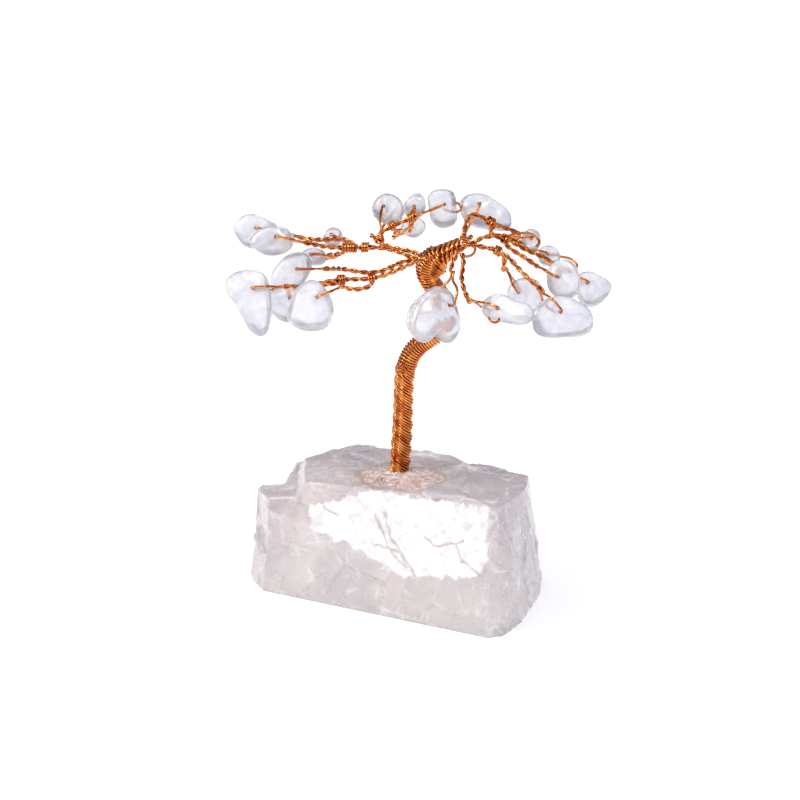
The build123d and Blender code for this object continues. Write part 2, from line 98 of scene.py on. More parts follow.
# Routes, as shares: trunk in sways and rises, spine in its reach, twigs in crown reaches and lifts.
# The left_inner and back_middle twigs root lower on the collar than in the solids.
trunk_route_shares = [
    (0.0, 0.0, 0.0), (0.04, 0.0, 0.15), (0.07, 0.0, 0.30), (0.09, 0.0, 0.43), (0.18, 0.03, 0.55),
    (0.42, 0.10, 0.62), (0.79, 0.16, 0.67), (1.0, 0.20, 0.735), (0.95, 0.16, 0.81), (0.76, 0.07, 0.89),
    (0.60, 0.01, 0.96)]
spine_route_shares = [(0.08, 0.02, 0.36), (0.43, 0.07, 0.69), (1.0, 0.15, 1.0)]
side_twig_shares = {
    "left_inner": (0.886, (-0.95, 0.05, 0.20), [(-0.20, 0.06, 0.31), (-0.40, 0.08, 0.30),
                                                (-0.54, 0.05, 0.37)]),
    "back_middle": (0.892, (-0.75, 0.60, 0.20), [(-0.21, 0.12, 0.31), (-0.242, 0.18, 0.38),
                                                 (-0.214, 0.222, 0.47), (-0.153, 0.242, 0.57),
                                                 (-0.078, 0.258, 0.67)]),
    "left_middle": (0.882, (-0.95, 0.10, -0.10), [(-0.236, 0.0, -0.07), (-0.43, 0.03, -0.06)]),
    "front_left_tip": (0.905, (-0.70, -0.70, -0.10), [(-0.235, -0.06, -0.10), (-0.42, -0.115, -0.09),
                                                      (-0.545, -0.17, -0.10), (-0.64, -0.21, -0.12)]),
    "heart": (0.98, (-0.35, -0.85, -0.25), [(0.135, -0.14, 0.11)]),
    "front_right_long": (0.99, (0.30, -0.80, -0.55), [(0.19, -0.14, 0.03), (0.20, -0.22, -0.15),
                                                      (0.225, -0.31, -0.28)]),
}
end_twig_shares = {
    "right_rear_small": (20, [(0.21, 0.085, 0.69), (0.245, 0.14, 0.88), (0.32, 0.16, 0.77),
                              (0.42, 0.21, 0.54), (0.50, 0.30, 0.29)]),
    "back_right": (110, [(0.245, 0.16, 0.42)]),
    "right_tip": (200, [(0.32, 0.05, 0.55), (0.425, 0.085, 0.46), (0.53, 0.11, 0.23), (0.635, 0.12, 0.04)]),
    "front_right_inner": (290, [(0.29, -0.045, 0.47), (0.36, -0.065, 0.44), (0.405, -0.078, 0.32),
                                (0.405, -0.072, 0.08)]),
}
branch_twig_shares = {
    "left_tip": ("left_inner", 0.56, (-0.10, 0.80, 0.55), [(-0.53, 0.165, 0.36), (-0.65, 0.20, 0.36)]),
    "left_small": ("left_inner", 0.46, (0.10, 0.90, -0.40), [(-0.41, 0.24, 0.22)]),
    "left_rear": ("left_inner", 0.62, (-0.10, 0.50, -0.85), [(-0.50, 0.20, 0.0)]),
    "back_left": ("back_middle", 0.50, (-0.80, 0.30, 0.50), [(-0.245, 0.265, 0.25)]),
    "back_upper": ("back_middle", 0.93, (0.0, 0.80, 0.60), [(-0.06, 0.36, 0.58)]),
    "back_lower": ("back_middle", 0.72, (0.0, 0.30, -0.95), [(-0.153, 0.36, 0.26), (-0.13, 0.53, 0.09)]),
    "front_left_round": ("front_left_tip", 0.40, (0.10, -0.75, -0.65), [(-0.43, -0.20, -0.12)]),
    "front_left_flat": ("front_left_tip", 0.60, (-0.10, 0.75, -0.65), [(-0.57, -0.11, -0.20)]),
    "right_rear": ("right_rear_small", 0.44, (0.55, -0.70, -0.45), [(0.35, 0.15, 0.58), (0.44, 0.18, 0.37),
                                                                   (0.52, 0.215, 0.19)]),
    "right_upper": ("right_tip", 0.36, (0.10, -0.80, -0.60), [(0.52, 0.03, 0.17), (0.585, 0.0, 0.03)]),
    "front_right_large": ("front_right_inner", 0.48, (0.55, -0.85, 0.0), [(0.461, -0.145, 0.25),
                                                                      (0.522, -0.203, 0.07),
                                                                      (0.60, -0.228, -0.17)]),
}

# How finely things are drawn
route_step = 0.12 * MM
wire_sides = 10
core_sides = 24
drill_sides = 24
span_steps = 60
loop_steps = 16
tie_steps = 20
weld = 0.002 * MM
chip_voxel = 0.18 * MM
rock_voxel = 0.30 * MM

# Where the random draws of each family of pieces start
chip_seed = 100
side_twig_seed = 300
end_twig_seed = 320
branch_twig_seed = 340
grit_seed = 5
rock_seed = 7
noise.seed_set(rock_seed)

# The photograph's view: its rise, the height over the foot that it is aimed at in millimetres, its distance,
# its pixels per unit of slope, the picture's width in pixels and the sensor's in millimetres
view_rise = math.radians(22)
view_height = 14.696
view_distance = 450 * MM
view_pixels = 2340
picture_pixels = 800
sensor_mm = 36.0

tree_body = "tree"


# Colour and nodes

def colour(hex_value):
    """An sRGB hex value as linear RGBA."""
    parts = [int(hex_value[i:i + 2], 16) / 255 for i in (1, 3, 5)]
    return tuple(p / 12.92 if p <= 0.04045 else ((p + 0.055) / 1.055) ** 2.4 for p in parts) + (1.0,)


def node(tree, kind, settings=None, links=None):
    """Adds a node, with its properties, its inputs' values and the links into it."""
    made = tree.nodes.new(kind)
    for name, value in (settings or {}).items():
        if isinstance(name, int) or (name not in made.bl_rna.properties and name in made.inputs):
            made.inputs[name].default_value = value
        else:
            setattr(made, name, value)
    for name, source in (links or {}).items():
        tree.links.new(source, made.inputs[name])
    return made


def new_material(name):
    material = bpy.data.materials.new(name)
    material.use_nodes = True
    tree = material.node_tree
    tree.nodes.clear()
    return material, tree


def per_mm(size_mm):
    """A texture scale whose pattern repeats about once in this many millimetres."""
    return 1 / (size_mm * MM)


def worked(tree, operation, *terms):
    """The result of a sum whose terms are links or plain numbers."""
    made = node(tree, "ShaderNodeMath", {"operation": operation})
    for place, term in enumerate(terms):
        if isinstance(term, float):
            made.inputs[place].default_value = term
        else:
            tree.links.new(term, made.inputs[place])
    return made.outputs[0]


def scaled(tree, vector, amount):
    made = node(tree, "ShaderNodeVectorMath", {"operation": "SCALE"}, {0: vector, "Scale": amount})
    return made.outputs["Vector"]


# Materials

def ramp(tree, source, low, low_hex, high, high_hex):
    """A colour that runs from one tone to another as a pattern's value rises."""
    made = node(tree, "ShaderNodeValToRGB", None, {"Fac": source})
    first, last = made.color_ramp.elements
    first.position, first.color = low, colour(low_hex)
    last.position, last.color = high, colour(high_hex)
    return made.outputs["Color"]


def pattern(tree, size_mm, detail=3.0, distortion=0.0):
    """Cloudy noise in the piece's own frame, in millimetres."""
    place = node(tree, "ShaderNodeTexCoord")
    made = node(tree, "ShaderNodeTexNoise",
                {"Scale": per_mm(size_mm), "Detail": detail, "Distortion": distortion},
                {"Vector": place.outputs["Object"]})
    return made.outputs["Fac"]


def spread(tree, source, low, high, out_low, out_high):
    made = node(tree, "ShaderNodeMapRange",
                {"From Min": low, "From Max": high, "To Min": out_low, "To Max": out_high}, {"Value": source})
    return made.outputs["Result"]


def mixed(tree, amount, first, second_hex):
    """A colour blended towards a second one."""
    made = node(tree, "ShaderNodeMix", {"data_type": "RGBA", 7: colour(second_hex)}, {0: amount, 6: first})
    return made.outputs[2]


def attribute(tree, name):
    return node(tree, "ShaderNodeAttribute", {"attribute_name": name}).outputs["Fac"]


def copper_wire():
    """Bright drawn copper wire: warm metal with fine streaks, redder and darker where it was handled."""
    material, tree = new_material("drawn copper wire")
    streaks = pattern(tree, 0.2, 2.0)
    tone = ramp(tree, pattern(tree, 2.4), 0.34, "#B65A28", 0.62, "#E89C58")
    bump = node(tree, "ShaderNodeBump", {"Strength": 0.1, "Distance": 0.02 * MM}, {"Height": streaks})
    surface = node(tree, "ShaderNodeBsdfPrincipled", {"Metallic": 1.0},
                   {"Base Color": tone, "Roughness": spread(tree, streaks, 0.3, 0.7, 0.12, 0.22),
                    "Normal": bump.outputs["Normal"]})
    node(tree, "ShaderNodeOutputMaterial", None, {"Surface": surface.outputs["BSDF"]})
    return material


def tumbled_quartz():
    """Tumbled milky quartz: soft polish over a cool, cloudy body that light enters and leaves."""
    material, tree = new_material("tumbled milky quartz")
    clouds = pattern(tree, 3.6, 4.0, 0.6)
    skin = pattern(tree, 1.2)
    tone = ramp(tree, clouds, 0.30, "#E1E4EF", 0.70, "#F1F2F7")
    bump = node(tree, "ShaderNodeBump", {"Strength": 0.1, "Distance": 0.05 * MM}, {"Height": skin})
    surface = node(tree, "ShaderNodeBsdfPrincipled",
                   {"IOR": 1.54, "Subsurface Weight": 0.6, "Subsurface Radius": (1.0, 1.0, 1.0),
                    "Subsurface Scale": 2.5 * MM},
                   {"Base Color": tone, "Roughness": spread(tree, skin, 0.35, 0.75, 0.08, 0.24),
                    "Transmission Weight": spread(tree, clouds, 0.3, 0.7, 0.72, 0.50),
                    "Normal": bump.outputs["Normal"]})
    node(tree, "ShaderNodeOutputMaterial", None, {"Surface": surface.outputs["BSDF"]})
    return material


def rough_quartz():
    """Rough rose quartz: frosted grey body, a front facet whose bright white is painted glare, with cracks,
    painted white sparkles, painted glints on flake edges and a pink glue stain.
    """
    material, tree = new_material("rough rose quartz")
    glare_facet = attribute(tree, "painted_glare_facet")
    veins = pattern(tree, 2.0, 4.0)
    body = ramp(tree, pattern(tree, 9.0, 5.0, 0.8), 0.30, "#CFC9CF", 0.72, "#E6E0E1")
    # Painted sparkles: small white dots, in patches, painted into the colour as highlights.
    place = node(tree, "ShaderNodeTexCoord")
    cells = node(tree, "ShaderNodeTexVoronoi", {"Scale": per_mm(1.7)}, {"Vector": place.outputs["Object"]})
    sparkle_dot = spread(tree, cells.outputs["Distance"], 0.08, 0.18, 1.0, 0.0)
    where = spread(tree, pattern(tree, 6.0, 2.0), 0.52, 0.66, 0.0, 1.0)
    painted_sparkles = worked(tree, "MULTIPLY", sparkle_dot, where)
    tone = mixed(tree, attribute(tree, "glue_stain"), body, "#DDBDB0")
    tone = mixed(tree, painted_sparkles, tone, "#FAFAFA")
    # Painted glare: the front facet's bright white is painted into the colour, and the facet lets less light
    # through.
    white = ramp(tree, pattern(tree, 2.6, 5.0, 1.2), 0.36, "#D9D8DC", 0.58, "#F3F3F5")
    blend = node(tree, "ShaderNodeMix", {"data_type": "RGBA"}, {0: glare_facet, 6: tone, 7: white})
    tone = blend.outputs[2]
    tone = mixed(tree, attribute(tree, "glint"), tone, "#FBFBFC")
    tone = mixed(tree, attribute(tree, "crack"), tone, "#B9AFB0")
    bump = node(tree, "ShaderNodeBump", {"Strength": 0.3, "Distance": 0.10 * MM},
                {"Height": pattern(tree, 3.0, 2.0)})
    surface = node(tree, "ShaderNodeBsdfPrincipled",
                   {"IOR": 1.54, "Subsurface Weight": 0.5, "Subsurface Radius": (1.0, 0.95, 0.95),
                    "Subsurface Scale": 3.0 * MM},
                   {"Base Color": tone, "Roughness": spread(tree, veins, 0.3, 0.7, 0.10, 0.34),
                    "Transmission Weight": spread(tree, glare_facet, 0.0, 1.0, 0.42, 0.05),
                    "Normal": bump.outputs["Normal"]})
    node(tree, "ShaderNodeOutputMaterial", None, {"Surface": surface.outputs["BSDF"]})
    return material


def glue_grit():
    """Clear glue with crushed rose quartz in it: wet grains, some white, some pinkish orange."""
    material, tree = new_material("glue and quartz grit")
    tone = ramp(tree, pattern(tree, 1.6, 2.0), 0.38, "#D9B9AD", 0.60, "#EAE1E1")
    surface = node(tree, "ShaderNodeBsdfPrincipled",
                   {"IOR": 1.5, "Roughness": 0.2, "Transmission Weight": 0.2, "Subsurface Weight": 0.4,
                    "Subsurface Radius": (1.0, 0.8, 0.7), "Subsurface Scale": 1.0 * MM}, {"Base Color": tone})
    node(tree, "ShaderNodeOutputMaterial", None, {"Surface": surface.outputs["BSDF"]})
    return material


copper = copper_wire()
chip_stone = tumbled_quartz()
base_rock = rough_quartz()
grit = glue_grit()


# Places and directions

across = Vector((math.cos(crown_turn), math.sin(crown_turn), 0))
behind = Vector((-math.sin(crown_turn), math.cos(crown_turn), 0))
up = Vector((0, 0, 1))
view_up = np.array(behind) * math.sin(view_rise) + np.array(up) * math.cos(view_rise)
view_far = np.array(behind) * math.cos(view_rise) - np.array(up) * math.sin(view_rise)


def way(shares):
    return (across * shares[0] + behind * shares[1] + up * shares[2]).normalized()


def trunk_point(shares):
    return foot + (across * shares[0] + behind * shares[1]) * trunk_sway + up * shares[2] * trunk_rise


trunk_top = trunk_point(trunk_route_shares[-1])


def spine_point(shares):
    return trunk_top + (across * shares[0] + behind * shares[1] + up * shares[2]) * spine_reach


def crown_point(shares):
    level = (across * shares[0] + behind * shares[1]) * crown_reach
    return trunk_point((crown_share, 0, 1)) + level + up * shares[2] * crown_lift


# Routes

class Route:
    """A smooth curve through points, kept as evenly spaced points."""

    def __init__(self, points, start_way=None, end_way=None):
        knots = np.array([tuple(p) for p in points])
        spans = np.diff(knots, axis=0)
        gaps = np.linalg.norm(spans, axis=1)
        count = len(knots)
        matrix = np.zeros((count, count))
        right = np.zeros((count, 3))
        for i in range(1, count - 1):
            before, after = gaps[i - 1], gaps[i]
            matrix[i, i - 1:i + 2] = after, 2 * (before + after), before
            right[i] = 3 * (spans[i - 1] * after / before + spans[i] * before / after)
        for i, given, other in ((0, start_way, 1), (count - 1, end_way, count - 2)):
            if given is None:
                matrix[i, i], matrix[i, other] = 2, 1
                right[i] = 3 * spans[min(i, other)] / gaps[min(i, other)]
            else:
                matrix[i, i] = 1
                right[i] = tuple(given)
        slopes = np.linalg.solve(matrix, right)
        pieces = [hermite(knots[i], slopes[i] * gaps[i], knots[i + 1], slopes[i + 1] * gaps[i], span_steps)
                  for i in range(count - 1)]
        self.points = evenly(np.concatenate(pieces + [knots[-1:]]), route_step)
        steps = np.linalg.norm(np.diff(self.points, axis=0), axis=1)
        self.along = np.concatenate([[0], np.cumsum(steps)])
        self.length = self.along[-1]
        self.ways = np.gradient(self.points, axis=0)
        self.ways /= np.linalg.norm(self.ways, axis=1)[:, None]

    def between(self, values, share):
        """A value at a share of the route's length, from the values at its points."""
        return Vector([np.interp(share * self.length, self.along, values[:, k]) for k in range(3)])

    def at(self, share):
        return self.between(self.points, share)

    def way(self, share):
        return self.between(self.ways, share).normalized()

    def stretch(self, begin, end):
        """The points of one stretch of the route."""
        count = max(8, round((end - begin) * self.length / route_step))
        return np.array([tuple(self.at(begin + (end - begin) * i / count)) for i in range(count + 1)])

    def sides(self, last_side):
        """A direction square to the route at each point, that doesn't twist, from its last point back."""
        side = np.array(tuple(last_side))
        found = []
        for ahead in self.ways[::-1]:
            side = side - ahead * side.dot(ahead)
            side = side / np.linalg.norm(side)
            found.append(side)
        return np.array(found[::-1])


def hermite(start, start_slope, end, end_slope, count):
    t = np.linspace(0, 1, count, endpoint=False)[:, None]
    return (start * (2 * t ** 3 - 3 * t ** 2 + 1) + start_slope * (t ** 3 - 2 * t ** 2 + t)
            + end * (3 * t ** 2 - 2 * t ** 3) + end_slope * (t ** 3 - t ** 2))


def evenly(points, step):
    """The same line with its points evenly spaced."""
    lengths = np.concatenate([[0], np.cumsum(np.linalg.norm(np.diff(points, axis=0), axis=1))])
    count = max(2, round(lengths[-1] / step) + 1)
    marks = np.linspace(0, lengths[-1], count)
    return np.stack([np.interp(marks, lengths, points[:, k]) for k in range(3)], axis=1)


# Geometry Nodes: wire along a path, and wires laid round a path

def start_tree(name, inputs):
    tree = bpy.data.node_groups.new(name, "GeometryNodeTree")
    tree.interface.new_socket(name="Geometry", in_out="INPUT", socket_type="NodeSocketGeometry")
    for label, kind in inputs:
        tree.interface.new_socket(name=label, in_out="INPUT", socket_type=kind)
    tree.interface.new_socket(name="Geometry", in_out="OUTPUT", socket_type="NodeSocketGeometry")
    return tree, node(tree, "NodeGroupInput").outputs


def end_tree(tree, curve, given):
    """Sweeps the wire's round section along the curves and gives the result its material."""
    even = node(tree, "GeometryNodeSetCurveRadius", {"Radius": 1.0}, {"Curve": curve})
    section = node(tree, "GeometryNodeCurvePrimitiveCircle", None,
                   {"Resolution": given["Sides"], "Radius": given["Wire Radius"]})
    tube = node(tree, "GeometryNodeCurveToMesh", {"Fill Caps": True},
                {"Curve": even.outputs["Curve"], "Profile Curve": section.outputs["Curve"]})
    smooth = node(tree, "GeometryNodeSetShadeSmooth", None, {"Geometry": tube.outputs["Mesh"]})
    finish_tree(tree, smooth.outputs["Geometry"], given)


def finish_tree(tree, geometry, given):
    """Makes instances real, gives the result its material and ends the tree."""
    real = node(tree, "GeometryNodeRealizeInstances", None, {"Geometry": geometry})
    finish = node(tree, "GeometryNodeSetMaterial", None,
                  {"Geometry": real.outputs["Geometry"], "Material": given["Material"]})
    node(tree, "NodeGroupOutput", None, {"Geometry": finish.outputs["Geometry"]})


wire_inputs = [
    ("Wire Radius", "NodeSocketFloat"), ("Sides", "NodeSocketInt"), ("Material", "NodeSocketMaterial")]


def wire_tree():
    tree, given = start_tree("wire along a path", wire_inputs)
    curve = node(tree, "GeometryNodeMeshToCurve", None, {"Mesh": given["Geometry"]})
    end_tree(tree, curve.outputs["Curve"], given)
    return tree


def lay_tree():
    """Wires wound side by side round a path, whose points carry the winding's radius."""
    tree, given = start_tree("wires laid round a path", wire_inputs + [
        ("Wires", "NodeSocketInt"), ("Pitch", "NodeSocketFloat"), ("Steps per Turn", "NodeSocketInt"),
        ("Bundles", "NodeSocketInt"), ("Bundle Swell", "NodeSocketFloat")])
    curve = node(tree, "GeometryNodeMeshToCurve", None, {"Mesh": given["Geometry"]})
    length = node(tree, "GeometryNodeCurveLength", None, {"Curve": curve.outputs["Curve"]})
    turns = worked(tree, "DIVIDE", length.outputs["Length"], given["Pitch"])
    count = worked(tree, "MULTIPLY_ADD", turns, given["Steps per Turn"], 2.0)
    even = node(tree, "GeometryNodeResampleCurve", None, {"Curve": curve.outputs["Curve"], "Count": count})
    copies = node(tree, "GeometryNodeDuplicateElements", {"domain": "SPLINE"},
                  {"Geometry": even.outputs["Curve"], "Amount": given["Wires"]})
    along = node(tree, "GeometryNodeSplineParameter")
    turned = worked(tree, "DIVIDE", along.outputs["Length"], given["Pitch"])
    share = worked(tree, "DIVIDE", copies.outputs["Duplicate Index"], given["Wires"])
    angle = worked(tree, "MULTIPLY", worked(tree, "SUBTRACT", share, turned), 2 * math.pi)
    normal = node(tree, "GeometryNodeInputNormal")
    tangent = node(tree, "GeometryNodeInputTangent")
    other = node(tree, "ShaderNodeVectorMath", {"operation": "CROSS_PRODUCT"},
                 {0: tangent.outputs["Tangent"], 1: normal.outputs["Normal"]})
    first = scaled(tree, normal.outputs["Normal"], worked(tree, "COSINE", angle))
    second = scaled(tree, other.outputs["Vector"], worked(tree, "SINE", angle))
    out = node(tree, "ShaderNodeVectorMath", {"operation": "ADD"}, {0: first, 1: second})
    radius = node(tree, "GeometryNodeInputNamedAttribute", {"data_type": "FLOAT", "Name": "lay_radius"})
    bundle_angle = worked(tree, "MULTIPLY", worked(tree, "MULTIPLY", share, given["Bundles"]), 2 * math.pi)
    wave = worked(tree, "COSINE", bundle_angle)
    swollen = worked(tree, "MULTIPLY_ADD", wave, given["Bundle Swell"], radius.outputs["Attribute"])
    offset = scaled(tree, out.outputs["Vector"], swollen)
    wound = node(tree, "GeometryNodeSetPosition", None,
                 {"Geometry": copies.outputs["Geometry"], "Offset": offset})
    end_tree(tree, wound.outputs["Geometry"], given)
    return tree


def core_tree():
    """A round core along a path, whose points carry its radius."""
    tree, given = start_tree("core along a path", [
        ("Sides", "NodeSocketInt"), ("Material", "NodeSocketMaterial")])
    curve = node(tree, "GeometryNodeMeshToCurve", None, {"Mesh": given["Geometry"]})
    radius = node(tree, "GeometryNodeInputNamedAttribute", {"data_type": "FLOAT", "Name": "lay_radius"})
    sized = node(tree, "GeometryNodeSetCurveRadius", None,
                 {"Curve": curve.outputs["Curve"], "Radius": radius.outputs["Attribute"]})
    section = node(tree, "GeometryNodeCurvePrimitiveCircle", {"Radius": 1.0}, {"Resolution": given["Sides"]})
    tube = node(tree, "GeometryNodeCurveToMesh", {"Fill Caps": True},
                {"Curve": sized.outputs["Curve"], "Profile Curve": section.outputs["Curve"],
                 "Scale": radius.outputs["Attribute"]})
    smooth = node(tree, "GeometryNodeSetShadeSmooth", None, {"Geometry": tube.outputs["Mesh"]})
    finish_tree(tree, smooth.outputs["Geometry"], given)
    return tree


def grit_tree():
    """Broken grains scattered over a surface, which stays under them."""
    tree, given = start_tree("grains on a surface", [
        ("Density", "NodeSocketFloat"), ("Grain Radius", "NodeSocketFloat"), ("Seed", "NodeSocketInt"),
        ("Material", "NodeSocketMaterial")])
    spots = node(tree, "GeometryNodeDistributePointsOnFaces", None,
                 {"Mesh": given["Geometry"], "Density": given["Density"], "Seed": given["Seed"]})
    grain = node(tree, "GeometryNodeMeshIcoSphere", {"Subdivisions": 1}, {"Radius": given["Grain Radius"]})
    turn = node(tree, "FunctionNodeRandomValue",
                {"data_type": "FLOAT_VECTOR", 0: (0.0, 0.0, 0.0), 1: (6.28, 6.28, 6.28)},
                {"Seed": given["Seed"]})
    size = node(tree, "FunctionNodeRandomValue",
                {"data_type": "FLOAT_VECTOR", 0: (0.5, 0.4, 0.4), 1: (1.6, 1.3, 1.0)},
                {"Seed": given["Seed"]})
    grains = node(tree, "GeometryNodeInstanceOnPoints", None,
                  {"Points": spots.outputs["Points"], "Instance": grain.outputs["Mesh"],
                   "Rotation": turn.outputs[0], "Scale": size.outputs[0]})
    both = node(tree, "GeometryNodeJoinGeometry")
    tree.links.new(given["Geometry"], both.inputs["Geometry"])
    tree.links.new(grains.outputs["Instances"], both.inputs["Geometry"])
    finish_tree(tree, both.outputs["Geometry"], given)
    return tree


wire_nodes = wire_tree()
lay_nodes = lay_tree()
core_nodes = core_tree()
grit_nodes = grit_tree()


def placed(name, data):
    """A new object in the scene."""
    made = bpy.data.objects.new(name, data)
    bpy.context.scene.collection.objects.link(made)
    return made


def baked(piece):
    """The mesh that an object's modifiers give."""
    bpy.context.view_layer.update()
    return bpy.data.meshes.new_from_object(piece.evaluated_get(bpy.context.evaluated_depsgraph_get()))


def path_object(name, lines, radii=None):
    """A mesh of plain lines, with the winding radius at each point."""
    points = np.concatenate(lines)
    edges = []
    start = 0
    for line in lines:
        edges += [(start + i, start + i + 1) for i in range(len(line) - 1)]
        start += len(line)
    mesh = bpy.data.meshes.new(name)
    mesh.from_pydata(points.tolist(), edges, [])
    if radii is not None:
        carried = mesh.attributes.new("lay_radius", "FLOAT", "POINT")
        carried.data.foreach_set("value", np.concatenate(radii).astype(np.float32))
    return placed(name, mesh)


def grow(name, source, tree, values):
    """Runs a node tree on an object and keeps the result as a plain mesh object."""
    modifier = source.modifiers.new(tree.name, "NODES")
    modifier.node_group = tree
    for item in tree.interface.items_tree:
        if item.item_type == "SOCKET" and item.in_out == "INPUT" and item.name in values:
            modifier[item.identifier] = values[item.name]
    mesh = baked(source)
    source.modifiers.remove(modifier)
    bpy.data.objects.remove(source)
    mesh.name = name
    return placed(name, mesh)


def joined(name, pieces):
    """One object made of several."""
    if len(pieces) > 1:
        with bpy.context.temp_override(active_object=pieces[0], selected_editable_objects=pieces):
            bpy.ops.object.join()
    pieces[0].name = name
    return pieces[0]


def finish_piece(piece, body, slot, *nodes):
    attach(piece, body)
    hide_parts(*nodes)


plain_wire = {"Wire Radius": wire_r, "Sides": wire_sides, "Material": copper}


def corners(mesh, kind="co"):
    """The places, or the normals, of a mesh's corners."""
    found = np.empty(len(mesh.vertices) * 3, np.float32)
    mesh.vertices.foreach_get(kind, found)
    return found.reshape(-1, 3).astype(float)


def place_corners(mesh, places):
    mesh.vertices.foreach_set("co", places.astype(np.float32).ravel())
    mesh.update()


def remeshed(name, mesh, voxel):
    """An even mesh of a closed form."""
    made = placed(name, mesh)
    remesh = made.modifiers.new("remesh", "REMESH")
    remesh.mode, remesh.voxel_size, remesh.use_smooth_shade = "VOXEL", voxel, True
    even = baked(made)
    bpy.data.objects.remove(made)
    return even


def welded(node_name):
    """A copy of a solid's faces, joined at their edges."""
    shape = bmesh.new()
    shape.from_mesh(frame["nodes"][node_name].data)
    bmesh.ops.remove_doubles(shape, verts=shape.verts, dist=weld)
    return shape


def as_mesh(name, shape):
    mesh = bpy.data.meshes.new(name)
    shape.to_mesh(mesh)
    shape.free()
    return mesh


def soften(piece, rounds):
    smooth = piece.modifiers.new("soften", "SMOOTH")
    smooth.factor, smooth.iterations = 0.5, rounds


def settled(piece, material):
    """The object with its modifiers made part of its mesh, in one material."""
    mesh = baked(piece)
    piece.modifiers.clear()
    piece.data = mesh
    mesh.materials.clear()
    mesh.materials.append(material)
    return piece



# Chips

class Chip:
    """Where a chip's hole is, and how far the chip reaches, read from its solid."""

    def __init__(self, joint):
        self.name = joint["child"]
        self.node = self.name + "_chip"
        self.hole = Vector(joint["pos_m"])
        self.axis = Vector(joint["axis"]).normalized()
        self.reach = corners(frame["nodes"][self.node].data) - np.array(self.hole)
        heights = self.reach @ np.array(tuple(self.axis))
        self.thick = (heights.max() - heights.min()) / pebble_share

    def towards(self, point):
        span = point - self.hole
        return (span - self.axis * span.dot(self.axis)).normalized()

    def edge(self, neck_way):
        return float((self.reach @ np.array(tuple(neck_way))).max())

    def loop_height(self):
        return self.thick / 2 + loop_stand + loop_bend

    def loop_shoulder(self, neck_way):
        return max(self.edge(neck_way) * shoulder_share, loop_bend + rest_gap)


chips = {joint["child"]: Chip(joint) for joint in frame["joints"]}


def undrilled(chip):
    """A copy of the chip's solid with its hole closed."""
    shape = welded(chip.node)
    away = np.array([tuple(v.co) for v in shape.verts]) - np.array(chip.hole)
    axis = np.array(chip.axis)
    inside = np.linalg.norm(away - (away @ axis)[:, None] * axis, axis=1) < hole_r
    shape.verts.index_update()
    bore = [f for f in shape.faces if all(inside[v.index] for v in f.verts)]
    bmesh.ops.delete(shape, geom=bore, context="FACES")
    bmesh.ops.holes_fill(shape, edges=[e for e in shape.edges if e.is_boundary])
    bmesh.ops.triangulate(shape, faces=shape.faces)
    return as_mesh(chip.name, shape)


def pebble(chip, seed):
    """A tumbled chip: the solid's form with worn flats and a soft, uneven skin, then drilled."""
    draw = random.Random(seed)
    mesh = remeshed(chip.name, undrilled(chip), chip_voxel)
    hole = np.array(chip.hole)
    places = hole + (corners(mesh) - hole) * trim_shares.get(chip.name, 1.0)
    normals = corners(mesh, "normal")
    middle = places.mean(axis=0)
    places -= middle
    for number in range(flat_count):
        tilt = np.array([draw.uniform(-1, 1) for _ in range(3)]) * flat_tilt
        normal = np.array(chip.axis) * (1 if number % 2 else -1) + tilt
        normal /= np.linalg.norm(normal)
        heights = places @ normal
        over = heights - heights.max() + draw.uniform(*flat_depths) * MM
        places -= np.maximum(over, 0)[:, None] * normal * flat_wear_share
    shift = Vector([draw.uniform(0, 50) for _ in range(3)])
    swell = [sum(noise.noise(Vector(p) / length + shift) * height for length, height in skin_waves)
             for p in places]
    place_corners(mesh, middle + places + normals * (np.array(swell) - skin_loss)[:, None] * MM)
    return drilled(chip, mesh)


def drilled(chip, mesh):
    """The chip, smoothed, with its hole cut through."""
    piece = placed(chip.name + "_stone", mesh)
    drill = bmesh.new()
    turn = chip.axis.to_track_quat("Z", "Y").to_matrix().to_4x4()
    bmesh.ops.create_cone(drill, cap_ends=True, segments=drill_sides, radius1=hole_r, radius2=hole_r,
                          depth=chip.thick * 2, matrix=Matrix.Translation(chip.hole) @ turn)
    tool = placed("drill", as_mesh("drill", drill))
    soften(piece, 5)
    cut = piece.modifiers.new("drill", "BOOLEAN")
    cut.operation, cut.solver, cut.object = "DIFFERENCE", "EXACT", tool
    settled(piece, chip_stone)
    bpy.data.objects.remove(tool)
    return piece


for number, chip in enumerate(chips.values()):
    finish_piece(pebble(chip, chip_seed + number), chip.name, "chip_quartz", chip.node)


# Trunk

core_points = [foot - up * (socket_depth - wire_r)]
core_points += [trunk_point(s) for s in trunk_route_shares] + [spine_point(s) for s in spine_route_shares]
core = Route(core_points)


def core_radius(along):
    """The solid core's radius at a share of its length."""
    shares = np.array(core_swell_shares)
    return core_r * float(np.interp(along, shares[:, 0], shares[:, 1]))


def laid(name, begin, end, radii_mm, wires, pitch, bundles=1, swell=0.0, steps=26, thick=wire_r):
    """Wires wound round a stretch of the core, with the winding's radius given along it in millimetres."""
    line = core.stretch(begin, end)
    radii = np.interp(np.linspace(0, 1, len(line)), np.linspace(0, 1, len(radii_mm)), radii_mm) * MM
    values = dict(plain_wire)
    values.update({"Wires": wires, "Pitch": pitch, "Steps per Turn": steps, "Bundles": bundles,
                   "Bundle Swell": swell, "Wire Radius": thick})
    return grow(name, path_object(name, [line], [radii]), lay_nodes, values)


def heart_of_trunk():
    """The wires' tails in the trunk, as one core that swells at the collar and tapers to the second fork."""
    marks = [0.0, 0.82, 0.85, 0.875, 0.895, 0.915, 0.93, 0.96, 1.0]
    radii = [1.38, 1.38, 1.5, 1.8, 2.1, 1.9, 1.4, 1.0, 0.75]
    line = core.stretch(0, 1)
    along = np.interp(np.linspace(0, 1, len(line)), marks, radii) * MM
    return grow("trunk_heart", path_object("trunk_heart", [line], [along]), core_nodes,
                {"Sides": core_sides, "Material": copper})


